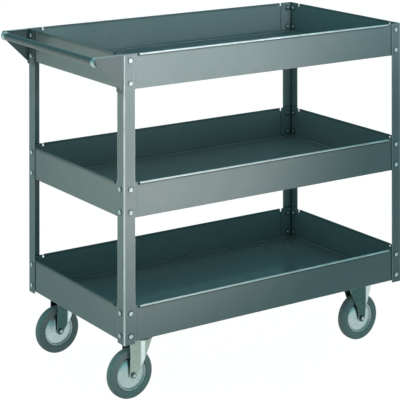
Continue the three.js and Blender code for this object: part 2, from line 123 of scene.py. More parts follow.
# How much painted light each feature gets: 1 is a bright painted highlight, 0 is plain and -1 is dark painted
# shade
PAINTED_LIGHT = {
    "floor_bend": 0.35,
    "bead_outside": 1.0,
    "bead_back": -0.6,
    "bead_underside": -1.0,
    "end_bead": -0.55,
    "post_bend": 1.0,
    "post_bend_side": 0.8,
    "post_free_edge": 0.4,
    "bolt_head": 0.95,
    "bolt_head_edge": -1.0,
    "cheek_top": 1.0,
    "cheek_edge": -0.8,
    "cheek_lip": 0.6,
    "bar_top": -0.3,
    "axle": 0.8,
    "axle_head": -0.9,
    "axle_head_face": 0.3,
    "axle_nut": -0.85,
    "axle_washer": -1.0,
    "fixed_wing": 0.75,
}

SIDES = {"right": -1, "left": 1}
ENDS = {"rear": -1, "front": 1}
CORNERS = [(end, sx, side, sy) for end, sx in ENDS.items() for side, sy in SIDES.items()]


# ---- Outlines ----


def arc(x, y, radius, start, end, steps):
    """Points on an arc, both ends included, angles in degrees."""
    angles = [math.radians(start + (end - start) * k / steps) for k in range(steps + 1)]
    return [(x + radius * math.cos(a), y + radius * math.sin(a)) for a in angles]


def area(outline):
    """The area inside an outline, below zero if it runs clockwise."""
    pairs = zip(outline, outline[1:] + outline[:1])
    return sum(x0 * y1 - x1 * y0 for (x0, y0), (x1, y1) in pairs) / 2


def inset(outline, distance):
    """The outline moved inwards by a small distance, with mitred corners."""
    sign = 1 if area(outline) > 0 else -1
    moved = []
    for k, (x, y) in enumerate(outline):
        x0, y0 = outline[k - 1]
        x1, y1 = outline[(k + 1) % len(outline)]
        a = Vector((x - x0, y - y0)).normalized()
        b = Vector((x1 - x, y1 - y)).normalized()
        normal = (Vector((-a.y, a.x)) + Vector((-b.y, b.x))) * sign
        scale = distance * 2 / max(normal.length_squared, 0.5)
        moved.append((x + normal.x * scale, y + normal.y * scale))
    return moved


def rounded_rectangle(half_x, half_y, radius):
    """A rectangle about the origin whose corners keep a radius of at least 0.3."""
    radius = max(radius, 0.3)
    x, y = half_x - radius, half_y - radius
    outline = []
    for k, (sx, sy) in enumerate(((1, 1), (-1, 1), (-1, -1), (1, -1))):
        outline += arc(sx * x, sy * y, radius, 90 * k, 90 * k + 90, 6)
    return outline


def both_faces(half):
    """A profile of [radius, height] points with its mirror image joined on."""
    return half + [(radius, -height) for radius, height in reversed(half)]


def placed(outline, axis, height):
    """An outline at one height along an axis: XY for z, XZ for y, YZ for x."""
    if axis == "z":
        return [(u, v, height) for u, v in outline]
    if axis == "y":
        return [(u, height, v) for u, v in outline]
    return [(height, u, v) for u, v in outline]


def hexagons(layers, centre, axis, turn):
    """Hexagons about a centre, one for each [radius, height]."""
    loops = []
    for radius, height in layers:
        outline = placed(arc(0, 0, radius, turn, turn + 300, 5), axis, height)
        loops.append([tuple(p + c for p, c in zip(point, centre)) for point in outline])
    return loops


# ---- Meshes ----


def added(name, data):
    """A new object in the scene."""
    item = bpy.data.objects.new(name, data)
    bpy.context.scene.collection.objects.link(item)
    return item


class Shell:
    """The closed surfaces that make up one piece."""

    def __init__(self):
        self.verts = []
        self.faces = []
        self.wear = []

    def add(self, verts, faces, wear=None):
        """Adds a surface, with the painted light on each of its points: a painted highlight above 0, painted
        shade below 0.
        """
        start = len(self.verts)
        self.verts += [Vector(v) for v in verts]
        self.faces += [[start + i for i in face] for face in faces]
        self.wear += list(wear) if wear else [0.0] * len(verts)
        return self

    def loft(self, loops, ring=False, wear=None):
        """Skin over closed loops with the same number of points. Both ends are filled unless it is a
        ring. The painted light has one value for each point, or for each point of one loop."""
        count = len(loops[0])
        verts = [point for loop in loops for point in loop]
        faces = []
        rows = len(loops) if ring else len(loops) - 1
        for row in range(rows):
            low = row * count
            high = (row + 1) % len(loops) * count
            for k in range(count):
                after = (k + 1) % count
                faces.append([low + k, low + after, high + after, high + k])
        if not ring:
            faces.append(list(range(count))[::-1])
            faces.append([(len(loops) - 1) * count + k for k in range(count)])
        if wear and len(wear) == count:
            wear = wear * len(loops)
        return self.add(verts, faces, wear)

    def prism(self, outline, low, high, axis="z", chamfer=0.0, wear=None):
        """An outline drawn out along an axis, with its two rims chamfered."""
        layers = [(outline, low), (outline, high)]
        if chamfer:
            small = inset(outline, chamfer)
            layers = [(small, low), (outline, low + chamfer), (outline, high - chamfer), (small, high)]
        return self.loft([placed(flat, axis, height) for flat, height in layers], wear=wear)

    def turned(self, profile, centre, axis="y", steps=48, wear=0.0):
        """A body of revolution from [radius, height] points. Radius 0 is a point on the axis."""
        verts, rows = [], []
        for radius, height in profile:
            count = 1 if radius < 1e-6 else steps
            rows.append((len(verts), count))
            for k in range(count):
                angle = 2 * math.pi * k / steps
                u, v = radius * math.cos(angle), radius * math.sin(angle)
                point = {"y": (u, height, v), "z": (u, v, height), "x": (height, u, v)}[axis]
                verts.append(tuple(p + c for p, c in zip(point, centre)))
        faces = []
        closed = profile[0][0] > 1e-6
        pairs = list(zip(rows, rows[1:])) + ([(rows[-1], rows[0])] if closed else [])
        for (low, low_count), (high, high_count) in pairs:
            for k in range(steps):
                after = (k + 1) % steps
                if low_count == 1:
                    faces.append([low, high + after, high + k])
                elif high_count == 1:
                    faces.append([low + k, low + after, high])
                else:
                    faces.append([low + k, low + after, high + after, high + k])
        return self.add(verts, faces, [wear] * len(verts))

    def ring(self, inner, outer, low, high, centre, axis="y", steps=48, chamfer=0.4, wear=0.0):
        """A washer or a tube with its outer corners chamfered."""
        profile = [
            (inner, low),
            (outer - chamfer, low),
            (outer, low + chamfer),
            (outer, high - chamfer),
            (outer - chamfer, high),
            (inner, high),
        ]
        return self.turned(profile, centre, axis, steps, wear)

    def hexagon(self, radius, low, high, centre, axis, turn=0.0, wear=None):
        """A nut or a bolt head with its corners chamfered."""
        small, chamfer = 0.9 * radius, 0.5
        layers = [(small, low), (radius, low + chamfer), (radius, high - chamfer), (small, high)]
        return self.loft(hexagons(layers, centre, axis, turn), wear=wear)

    def plate(self, rows, thickness, wear=None):
        """A curved plate: a grid of points, thickened along its own normals."""
        grid = [[Vector(p) for p in row] for row in rows]
        wide, tall = len(grid[0]), len(grid)
        verts = []
        for side in (0, -thickness):
            for r in range(tall):
                for c in range(wide):
                    along = grid[r][min(c + 1, wide - 1)] - grid[r][max(c - 1, 0)]
                    down = grid[min(r + 1, tall - 1)][c] - grid[max(r - 1, 0)][c]
                    verts.append(grid[r][c] + along.cross(down).normalized() * side)
        back = wide * tall
        faces = []
        for r in range(tall - 1):
            for c in range(wide - 1):
                a = r * wide + c
                faces.append([a, a + 1, a + wide + 1, a + wide])
                faces.append([back + a, back + a + wide, back + a + wide + 1, back + a + 1])
        edge = list(range(wide))
        edge += [r * wide + wide - 1 for r in range(1, tall)]
        edge += [(tall - 1) * wide + c for c in range(wide - 2, -1, -1)]
        edge += [r * wide for r in range(tall - 2, 0, -1)]
        for a, b in zip(edge, edge[1:] + edge[:1]):
            faces.append([a, b, back + b, back + a])
        return self.add(verts, faces, wear * 2 if wear else None)

    def moved(self, x, y):
        self.verts = [v + Vector((x, y, 0.0)) for v in self.verts]
        return self

    def copied(self, other, matrix):
        """Adds a moved copy of another shell."""
        return self.add([matrix @ v for v in other.verts], other.faces, other.wear)

    def mesh(self, name, shift=SHIFT):
        """The mesh in metres, with its faces pointing out and smooth but for edges over 38 degrees."""
        data = bpy.data.meshes.new(name)
        points = [((v.x + shift) * MM, v.y * MM, v.z * MM) for v in self.verts]
        data.from_pydata(points, [], self.faces)
        work = bmesh.new()
        work.from_mesh(data)
        bmesh.ops.recalc_face_normals(work, faces=work.faces)
        work.to_mesh(data)
        work.free()
        # The painted light of each point goes on the mesh for the materials to read
        data.attributes.new("wear", "FLOAT", "POINT").data.foreach_set("value", self.wear)
        data.shade_smooth()
        data.set_sharp_from_angle(angle=math.radians(38))
        return data

    def piece(self, name, finish, body, nodes=()):
        """The piece as an object of its own that rides on a body and stands for the CAD nodes."""
        data = self.mesh(name)
        data.materials.append(MATERIALS[finish])
        item = added(name, data)
        item.modifiers.new("even_flats", "WEIGHTED_NORMAL").keep_sharp = True
        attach(item, body)
        if nodes:
            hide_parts(*nodes)


# ---- Materials ----


class Graph:
    """Short calls for building the nodes of a material or a world."""

    def __init__(self, owner):
        self.owner = owner
        owner.use_nodes = True
        self.tree = owner.node_tree
        self.tree.nodes.clear()

    def node(self, kind, settings=None, numbered=None, **inputs):
        """A node with its settings and with its inputs, numbered or named."""
        made = self.tree.nodes.new("ShaderNode" + kind)
        for key, value in (settings or {}).items():
            setattr(made, key, value)
        for key, value in (numbered or {}).items():
            self.feed(made, key, value)
        for key, value in inputs.items():
            self.feed(made, key.replace("_", " "), value)
        return made

    def feed(self, node, key, value):
        """Gives an input a socket or a plain value. A colour needs no alpha."""
        socket = node.inputs[key]
        if isinstance(value, bpy.types.NodeSocket):
            self.tree.links.new(value, socket)
        elif socket.type == "RGBA":
            socket.default_value = (*value, 1.0)
        else:
            socket.default_value = value

    def maths(self, operation, first, second=0.0, clamp=False):
        settings = {"operation": operation, "use_clamp": clamp}
        return self.node("Math", settings, {0: first, 1: second}).outputs[0]

    def times(self, first, second, clamp=False):
        return self.maths("MULTIPLY", first, second, clamp)

    def scaled(self, value, low, high, to_low=0.0, to_high=1.0):
        """A value from one range to another, clamped to it."""
        ends = {"From_Min": low, "From_Max": high, "To_Min": to_low, "To_Max": to_high}
        return self.node("MapRange", Value=value, **ends).outputs[0]

    def mix(self, factor, first, second, blend="MIX"):
        """Two colours mixed. A Mix node has its factor at input 0 and its colours at inputs 6 and 7."""
        settings = {"data_type": "RGBA", "blend_type": blend}
        return self.node("Mix", settings, {0: factor, 6: first, 7: second}).outputs[2]

    def shaders(self, factor, first, second):
        """Two shaders mixed."""
        return self.node("MixShader", None, {0: factor, 1: first.outputs[0], 2: second.outputs[0]})

    def noise(self, where, scale, detail=3.0, roughness=0.55):
        node = self.node("TexNoise", Vector=where, Scale=scale, Detail=detail, Roughness=roughness)
        return node.outputs["Fac"]

    def stretched(self, where, x, y, z):
        return self.node("Mapping", Vector=where, Scale=(x, y, z)).outputs[0]

    def place(self):
        """Object coordinates, moved a little for each object so that no two look alike."""
        where = self.node("TexCoord").outputs["Object"]
        chance = self.node("ObjectInfo").outputs["Random"]
        return self.node("VectorMath", {"operation": "ADD"}, {0: where, 1: chance}).outputs[0]

    def edges(self, radius, low=0.004, high=0.12):
        """1 along convex edges and 0 on flats, from how far a rounded normal leans."""
        rounded = self.node("Bevel", {"samples": 6}, Radius=radius).outputs[0]
        flat = self.node("NewGeometry").outputs["Normal"]
        dot = self.node("VectorMath", {"operation": "DOT_PRODUCT"}, {0: rounded, 1: flat})
        return self.scaled(self.maths("SUBTRACT", 1.0, dot.outputs["Value"]), low, high)

    def wear_and_light(self):
        """The painted highlight and the painted shade written on the mesh, as two masks."""
        wear = self.node("Attribute", {"attribute_name": "wear"}).outputs["Fac"]
        return self.times(wear, 1.0, True), self.times(wear, -1.0, True)

    def corner_shade(self, distance, open_side, closed_side):
        """Where painted shade goes: 1 in tight corners and round anything that stands on the surface, 0 in
        the open.
        """
        cover = self.node("AmbientOcclusion", {"samples": 5}, Distance=distance).outputs["AO"]
        return self.scaled(cover, closed_side, open_side, 1.0, 0.0)

    def bump(self, height, strength, distance, **normal):
        return self.node("Bump", Height=height, Strength=strength, Distance=distance, **normal).outputs[0]

    def finish(self, **inputs):
        """The material, with these inputs on its surface."""
        shader = self.node("BsdfPrincipled", **inputs)
        self.node("OutputMaterial", Surface=shader.outputs[0])
        return self.owner


# The colour of painted shade
SHADE_TINT = (0.02, 0.035, 0.035)


def enamel(name, tone):
    """Baked enamel. tone scales how light the paint is."""
    g = Graph(bpy.data.materials.new(name))
    where = g.place()
    broad = g.noise(where, 3.0, 2.0)
    cloudy = g.noise(where, 22.0, 4.0)
    grain = g.noise(where, 900.0, 2.0)
    peel = g.noise(where, 260.0, 1.5, 0.4)
    base = g.mix(g.scaled(broad, 0.3, 0.7), (0.21, 0.245, 0.24), (0.24, 0.265, 0.265))
    base = g.mix(g.scaled(cloudy, 0.35, 0.75, 0.0, 0.35), base, (0.17, 0.215, 0.205))
    base = g.mix(g.scaled(grain, 0.3, 0.7, 0.0, 0.12), base, (0.33, 0.37, 0.36))
    base = g.mix(1.0, base, (tone, tone, tone), "MULTIPLY")
    # Edges lighter in patches: rubbed paint and a painted highlight
    patches = g.scaled(g.noise(where, 60.0, 4.0), 0.3, 0.55, 0.25, 0.9)
    wear_and_light = g.times(g.edges(0.0011), patches, True)
    base = g.mix(wear_and_light, base, (0.5, 0.56, 0.55))
    # Painted shade in tight corners and round anything standing on the paint, in patches
    corner_shade = g.times(g.corner_shade(0.006, 0.95, 0.72), g.scaled(cloudy, 0.3, 0.6, 0.7, 1.0), True)
    base = g.mix(corner_shade, base, SHADE_TINT)
    # Bends polished down to the bright metal
    # Painted highlight where the mesh is marked, on bends, beads and edges: a light metal tint, partly
    # metallic
    painted_highlight, painted_shade = g.wear_and_light()
    highlit_bends = g.times(painted_highlight, g.scaled(g.noise(where, 14.0, 3.0), 0.3, 0.6, 0.7, 1.0), True)
    base = g.mix(highlit_bends, base, (0.96, 0.93, 0.92))
    # Painted shade where the mesh is marked
    base = g.mix(g.times(painted_shade, 0.9), base, SHADE_TINT)
    rough = g.scaled(g.noise(where, 35.0, 3.0), 0.3, 0.7, 0.34, 0.46)
    rough = g.maths("SUBTRACT", rough, g.times(wear_and_light, 0.08))
    normal = g.bump(peel, 0.25, 0.00022)
    normal = g.bump(g.noise(where, 7.0, 1.0), 0.25, 0.0012, Normal=normal)
    return g.finish(
        Base_Color=base,
        Roughness=rough,
        Metallic=g.times(highlit_bends, 0.45),
        Specular_IOR_Level=0.35,
        Normal=normal,
        Coat_Weight=0.3,
        Coat_Roughness=0.12,
    )


def zinc(name, dull, bright, stained, painted_white=0.0):
    """Zinc plate with painted highlights. The last argument is how far a painted highlight turns
    from a mirror into a plain white.
    """
    g = Graph(bpy.data.materials.new(name))
    where = g.place()
    spangle = g.noise(where, 130.0, 3.0)
    streak = g.noise(g.stretched(where, 1.0, 1.0, 14.0), 70.0, 3.0)
    base = g.mix(g.scaled(spangle, 0.3, 0.7), dull, bright)
    stain = g.scaled(g.noise(where, 28.0, 4.0), 0.55, 0.8, 0.0, 0.45)
    base = g.mix(stain, base, stained)
    # Painted highlight along convex edges and where the mesh is marked, tinted near white
    edge = g.times(g.edges(0.0007), g.scaled(spangle, 0.3, 0.6, 0.4, 1.0))
    painted_highlight, painted_shade = g.wear_and_light()
    wear_and_light = g.maths("MAXIMUM", edge, painted_highlight, True)
    base = g.mix(wear_and_light, base, (0.96, 0.98, 0.98))
    # Painted shade in corners and where the mesh is marked
    corner_shade = g.times(g.corner_shade(0.002, 0.7, 0.35), g.scaled(spangle, 0.3, 0.6, 0.5, 0.8), True)
    shade_mask = g.maths("MAXIMUM", corner_shade, g.times(painted_shade, 0.9))
    base = g.mix(shade_mask, base, (0.04, 0.055, 0.055))
    rough = g.scaled(streak, 0.3, 0.7, 0.22, 0.36)
    normal = g.bump(streak, 0.18, 0.00012)
    normal = g.bump(g.noise(where, 420.0, 2.0), 0.15, 0.00008, Normal=normal)
    metallic = g.maths("SUBTRACT", 1.0, g.times(painted_highlight, painted_white))
    return g.finish(Base_Color=base, Roughness=rough, Metallic=metallic, Normal=normal)


def steel():
    """Plain steel with fine turning marks."""
    g = Graph(bpy.data.materials.new("steel"))
    where = g.place()
    turning = g.noise(g.stretched(where, 1.0, 18.0, 1.0), 90.0, 3.0)
    base = g.mix(g.scaled(turning, 0.3, 0.7), (0.40, 0.42, 0.42), (0.58, 0.60, 0.60))
    # Convex edges lighter: a painted highlight
    wear_and_light = g.edges(0.0006)
    base = g.mix(wear_and_light, base, (0.78, 0.8, 0.8))
    rough = g.scaled(turning, 0.3, 0.7, 0.26, 0.42)
    normal = g.bump(turning, 0.25, 0.0001)
    return g.finish(Base_Color=base, Roughness=rough, Metallic=1.0, Normal=normal)


def rubber():
    """Grey tyre rubber, dusty, with a painted highlight along its edges and painted shade in its creases."""
    g = Graph(bpy.data.materials.new("rubber"))
    where = g.place()
    dust = g.noise(where, 38.0, 4.0)
    grain = g.noise(where, 700.0, 3.0)
    base = g.mix(g.scaled(dust, 0.35, 0.7), (0.37, 0.38, 0.36), (0.49, 0.49, 0.46))
    base = g.mix(g.scaled(grain, 0.3, 0.7, 0.0, 0.3), base, (0.14, 0.165, 0.16))
    # Painted highlight along convex edges, in patches
    wear_and_light = g.times(g.edges(0.0022, 0.002, 0.08), g.scaled(dust, 0.3, 0.6, 0.3, 0.8), True)
    base = g.mix(wear_and_light, base, (0.42, 0.47, 0.46))
    # Painted shade in creases, as where tyre and disc meet
    corner_shade = g.corner_shade(0.003, 0.85, 0.5)
    base = g.mix(corner_shade, base, (0.02, 0.03, 0.03))
    rough = g.scaled(dust, 0.3, 0.7, 0.5, 0.66)
    normal = g.bump(grain, 0.35, 0.0002)
    return g.finish(Base_Color=base, Roughness=rough, Normal=normal)


MATERIALS = {
    "grey_enamel": enamel("grey_enamel", 1.0),
    # A half-tone copy of the grey enamel for the handle: a darker paint, and on the cheeks it stands in for
    # their shade
    "dark_enamel": enamel("dark_enamel", 0.5),
    "zinc": zinc("zinc", (0.50, 0.55, 0.55), (0.64, 0.68, 0.68), (0.40, 0.43, 0.39), 0.6),
    "fork_zinc": zinc("fork_zinc", (0.39, 0.42, 0.375), (0.51, 0.53, 0.49), (0.31, 0.325, 0.25)),
    "shaded_zinc": zinc("shaded_zinc", (0.05, 0.105, 0.105), (0.085, 0.15, 0.145), (0.05, 0.09, 0.08)),
    "steel": steel(),
    "rubber": rubber(),
}


# ---- Trays ----


def tray_section(floor, top):
    """The wall's section from the underside round to the floor, as [distance inwards, height]."""
    bend, inner = FLOOR_BEND, FLOOR_BEND - TRAY_SHEET
    outside = arc(bend, floor + bend, bend, 270, 180, BEND_STEPS)
    inside = arc(bend, floor + bend, inner, 180, 270, BEND_STEPS)
    return outside + [(0, top), (TRAY_SHEET, top)] + inside


def bead_section(low, rim):
    """The rolled rim's section, as [distance outwards, height], and the painted light on each point:
    a painted highlight on its outer roll, painted shade on its back and underside.
    """
    centre = rim - BEAD
    roll = arc(BEAD_OUT, centre, BEAD, 178, -98, 14)
    outline = [(-TRAY_SHEET, low)] + roll + [(BEAD_OUT - 0.2, centre - 1.7), (0, centre - 1.2)]
    outline += [(0, centre - 3.4), (0, centre - 4.2), (0, low)]
    wear = [0.0]
    for out, height in roll:
        if height < centre - 0.6 * BEAD:
            wear.append(PAINTED_LIGHT["bead_underside"])
        else:
            wear.append(PAINTED_LIGHT["bead_outside"] if out > BEAD_OUT - 0.2 else PAINTED_LIGHT["bead_back"])
    return outline, wear + [PAINTED_LIGHT["bead_underside"]] * 3 + [0.0] * 2


def corner_wall(shell, sx, sy, low, rim):
    """The flat stretch of wall that wraps round a corner from one notch to the other."""
    end_x = HALF_X - NOTCH_INSET
    end_y = HALF_Y - NOTCH_INSET
    centre_x, centre_y = TRAY_X - TRAY_CORNER, TRAY_Y - TRAY_CORNER
    outer = [(end_x, TRAY_Y)] + arc(centre_x, centre_y, TRAY_CORNER, 90, 0, 6) + [(TRAY_X, end_y)]
    inner = [(end_x, TRAY_Y - TRAY_SHEET)]
    inner += arc(centre_x, centre_y, TRAY_CORNER - TRAY_SHEET, 90, 0, 6)
    inner += [(TRAY_X - TRAY_SHEET, end_y)]
    # Each loop is the wall's section, as [share of the way inwards, height]
    section = [(0, low), (0, rim - 0.3), (0.25, rim), (0.75, rim), (1, rim - 0.3), (1, low)]
    loops = []
    for (ox, oy), (ix, iy) in zip(outer, inner):
        loops.append([((ox + (ix - ox) * t) * sx, (oy + (iy - oy) * t) * sy, z) for t, z in section])
    shell.loft(loops)


def corner_tab(shell, sx, sy, floor, rim):
    """The tab folded back from the end wall and lapped inside the side wall."""
    near = TRAY_X - TRAY_SHEET - 0.4
    far = near - TAB_LENGTH
    low, high = floor + 7, rim - 1.5
    outline = [(near, low), (near, high), (far + 9, high), (far, high - 10), (far, low + 6), (far + 6, low)]
    outline = [(x * sx, z) for x, z in outline]
    wall = TRAY_Y - TRAY_SHEET - TAB_GAP
    ends = sorted((sy * wall, sy * (wall - TAB_SHEET)))
    shell.prism(outline, ends[0], ends[1], "y", 0.3)


def make_tray(level):
    """One folded tray with its beads, corners and tabs. The notches are where the beads stop."""
    rim = RIMS[level]
    floor = rim - TRAY_WALL
    low = rim - NOTCH_DEPTH
    shell = Shell()
    loops = []
    for depth, height in tray_section(floor, low):
        outline = rounded_rectangle(TRAY_X - depth, TRAY_Y - depth, TRAY_CORNER - depth)
        loops.append(placed(outline, "z", height))
    shell.loft(loops)
    # The three middle loops of the bend between floor and wall carry a faint painted reflection
    middle, points = len(loops) - 1 - BEND_STEPS // 2, len(loops[0])
    for k in range((middle - 1) * points, (middle + 2) * points):
        shell.wear[k] = PAINTED_LIGHT["floor_bend"]
    end_x = HALF_X - NOTCH_INSET - NOTCH_WIDTH
    end_y = HALF_Y - NOTCH_INSET - NOTCH_WIDTH
    section, wear = bead_section(low, rim)
    # The beads across the ends carry painted shade, those along the sides a painted highlight
    end_bead_shade = [PAINTED_LIGHT["end_bead"] if amount > 0.0 else amount for amount in wear]
    for sign in (-1, 1):
        side_section = [(sign * (TRAY_Y + u), v) for u, v in section]
        shell.prism(side_section, -end_x, end_x, "x", wear=wear)
        end_section = [(sign * (TRAY_X + u), v) for u, v in section]
        shell.prism(end_section, -end_y, end_y, "y", wear=end_bead_shade)
    for _, sx, _, sy in CORNERS:
        corner_wall(shell, sx, sy, low, rim)
        corner_tab(shell, sx, sy, floor, rim)
    shell.piece(f"tray_shell_{level}", "grey_enamel", "frame", [f"tray_{level}"])


# ---- Posts and tray bolts ----


def make_post(end, sx, side, sy):
    """A folded angle, with a painted highlight along its bend and a fainter one along its free edges."""
    flange, sheet, bend = POST_FLANGE, POST_SHEET, POST_BEND
    edge, wear_and_light = 0.5, 1.7
    outline = (
        [(flange - edge, 0.0), (flange - wear_and_light, 0.0)]
        + arc(bend, bend, bend, 270, 180, 8)
        + [(0.0, flange - wear_and_light), (0.0, flange - edge)]
        + [(edge, flange), (sheet - edge, flange), (sheet, flange - edge)]
        + arc(bend, bend, bend - sheet, 180, 270, 6)
        + [(flange - edge, sheet), (flange, sheet - edge), (flange, edge)]
    )
    outline = [(sx * (HALF_X - u), sy * (HALF_Y - v)) for u, v in outline]
    free, flank = PAINTED_LIGHT["post_free_edge"], PAINTED_LIGHT["post_bend_side"]
    bend_highlight = [free, 0.0, 0.0, flank] + [PAINTED_LIGHT["post_bend"]] * 5 + [flank, 0.0, 0.0, free, free]
    wear = bend_highlight + [0.0] * (len(outline) - len(bend_highlight) - 1) + [free]
    shell = Shell().prism(outline, POST_LOW, POST_HIGH, "z", 0.35, wear)
    shell.piece(f"corner_post_{end}_{side}", "grey_enamel", "frame", [f"post_{end}_{side}"])


def slotted_head():
    """The pan-shaped head, cut once with its screwdriver slot, with a painted highlight on top and
    painted shade round its edge.
    """
    profile = [(0, BOLT_HEIGHT)]
    for angle in (0.25, 0.5, 0.75, 0.95, 1.1, 1.25, 1.4, 1.5):
        profile.append((BOLT_HEAD * math.sin(angle), BOLT_HEIGHT * math.cos(angle) ** 0.55))
    profile += [(BOLT_HEAD, 0.2), (BOLT_HEAD - 0.2, 0.0), (0, 0.0)]
    head = added("head", Shell().turned(profile, (0, 0, 0), "z", 32).mesh("head", 0))
    outline = [(-9, -SLOT_HALF), (9, -SLOT_HALF), (9, SLOT_HALF), (-9, SLOT_HALF)]
    slot = Shell().prism(outline, BOLT_HEIGHT - SLOT_DEPTH, BOLT_HEIGHT + 2)
    tool = added("slot", slot.mesh("slot", 0))
    cut = head.modifiers.new("slot", "BOOLEAN")
    cut.object = tool
    cut.operation = "DIFFERENCE"
    bpy.context.view_layer.update()
    graph = bpy.context.evaluated_depsgraph_get()
    data = bpy.data.meshes.new_from_object(head.evaluated_get(graph), depsgraph=graph)
    points = [v.co / MM for v in data.vertices]
    bright, edge = PAINTED_LIGHT["bolt_head"], PAINTED_LIGHT["bolt_head_edge"]
    wear = [bright if math.hypot(p.x, p.y) < 0.93 * BOLT_HEAD else edge for p in points]
    shell = Shell().add(points, [list(f.vertices) for f in data.polygons], wear)
    for item in (head, tool):
        bpy.data.objects.remove(item)
    bpy.data.meshes.remove(data)
    return shell


def threaded(shell, low, high, radius, centre=(0, 0, 0)):
    """A shank from low to high, with thread on its first few millimetres."""
    depth, pitch = 0.45, 0.9
    profile = [(0, low), (radius - 0.6, low)]
    height = low + 0.4
    while height < min(low + 6, high - 1):
        profile += [(radius - depth, height), (radius, height + pitch / 2)]
        height += pitch
    profile += [(radius, high), (0, high)]
    shell.turned(profile, centre, "z", 20)


HEAD = slotted_head()


def tray_bolt(shell, place, clamped):
    """A bolt and its nut. place puts the outer face at the origin with +Z outwards."""
    bolt = Shell()
    turn = Matrix.Rotation(random.uniform(0, math.pi), 4, "Z")
    bolt.copied(HEAD, turn @ Matrix.Translation((0, 0, BOLT_LIFT)))
    nut_high = -clamped - BOLT_LIFT
    nut_low = nut_high - BOLT_NUT_HEIGHT
    threaded(bolt, nut_low - BOLT_END, 0.3, BOLT_SHANK)
    bolt.hexagon(BOLT_NUT, nut_low, nut_high, (0, 0, 0), "z", random.uniform(0, 60))
    shell.copied(bolt, place)


def bolt_place(face, sx, sy, height, lift=0.0):
    """Where a tray bolt goes: face 'side' points along Y and 'end' along X."""
    if face == "side":
        spot = (sx * (HALF_X - BOLT_INSET), sy * HALF_Y, height)
        turn = Matrix.Rotation(-sy * math.pi / 2, 4, "X")
    else:
        spot = (sx * (HALF_X + lift), sy * (HALF_Y - BOLT_INSET), height)
        turn = Matrix.Rotation(sx * math.pi / 2, 4, "Y")
    return Matrix.Translation(spot) @ turn


def make_corner_bolts(end, sx, side, sy):
    """The bolts of one corner: pieces of their own at the top tray, one group at each lower tray."""
    sheets = POST_SHEET + GAP + TRAY_SHEET
    for level, rim in RIMS.items():
        group = Shell()
        heights = {"upper": rim - BOLT_EDGE, "lower": rim - TRAY_WALL + BOLT_EDGE}
        for face in ("side", "end"):
            for row, height in heights.items():
                lift = BRACKET_SHEET + GAP if (level, end, face) == ("top", "rear", "end") else 0.0
                clamped = sheets + lift + (TAB_SHEET + TAB_GAP if face == "side" else 0.0)
                place = bolt_place(face, sx, sy, height, lift)
                if level == "top":
                    single = Shell()
                    tray_bolt(single, place, clamped)
                    name = f"bolt_{end}_{side}_{face}_{row}"
                    single.piece(f"top_{name}", "zinc", "frame", [name])
                else:
                    tray_bolt(group, place, clamped)
        if level != "top":
            group.piece(f"{level}_bolts_{end}_{side}", "zinc", "frame")


# ---- Handle ----


def make_bracket(side, sy):
    """A flange on the end of the rear post and a cheek that reaches back to the bar."""
    top, low = RIMS["top"], RIMS["top"] - BRACKET_HEIGHT
    back = -HALF_X - GAP
    nose = -HALF_X - REACH
    sheet, bend, outer = BRACKET_SHEET, POST_BEND, HALF_Y
    plan = (
        [(back, outer - POST_FLANGE)]
        + arc(back - bend, outer - bend, bend, 0, 90, 6)
        + arc(back - bend, outer - bend, bend - sheet, 90, 0, 5)
        + [(back - sheet, outer - POST_FLANGE)]
    )
    shell = Shell().prism([(x, sy * y) for x, y in plan], low, top, "z", 0.3)

    join = back - bend + 0.02
    tip = arc(nose + 5, top - 5, 5, 90, 180, 6)
    toe = arc(nose + 5, top - NOSE + 5, 5, 180, 225, 3)
    cheek = [(join, top)] + tip + toe + [(join, low + 7)]
    ends = sorted((sy * outer, sy * (outer - sheet)))
    start, count = len(shell.verts), len(cheek)
    shell.prism(cheek, ends[0], ends[1], "y", CHEEK_CHAMFER)
    # The cheek's edge is its two middle outlines: painted highlight along the top, painted shade elsewhere
    for k in range(start + count, start + 3 * count):
        shell.wear[k] = PAINTED_LIGHT["cheek_top"] if shell.verts[k].z > top - 1.5 else PAINTED_LIGHT["cheek_edge"]

    # A narrow lip turned inwards along the cheek's top edge stiffens it and carries a painted highlight
    inner, under = outer - LIP_WIDTH, top - LIP_SHEET
    lip = [(outer - 0.2, top), (inner + 0.5, top), (inner, top - 0.5), (inner, under), (outer - 1.9, under)]
    shell.prism([(sy * y, z) for y, z in lip], nose + 7, join - 2, "x", 0.2, [PAINTED_LIGHT["cheek_lip"]] * len(lip))
    # The cheek's half-tone enamel also paints the shade it stands in
    shell.piece(f"handle_cheek_{side}", "dark_enamel", "frame", [f"handle_bracket_{side}"])


def make_bar():
    """The bar is a tube, a little darker on top: a painted reflection of the dark above it."""
    bar = Shell()
    half = [(BAR_RADIUS - 1.6, -BAR_END), (BAR_RADIUS - 0.4, -BAR_END), (BAR_RADIUS, -BAR_END + 0.4)]
    bar.turned(both_faces(half), (BAR_X, 0, BAR_Z), "y", 56)
    bar.wear = [PAINTED_LIGHT["bar_top"] if v.z > BAR_Z + 1.5 else 0.0 for v in bar.verts]
    bar.piece("push_bar", "dark_enamel", "frame", ["handle_bar"])


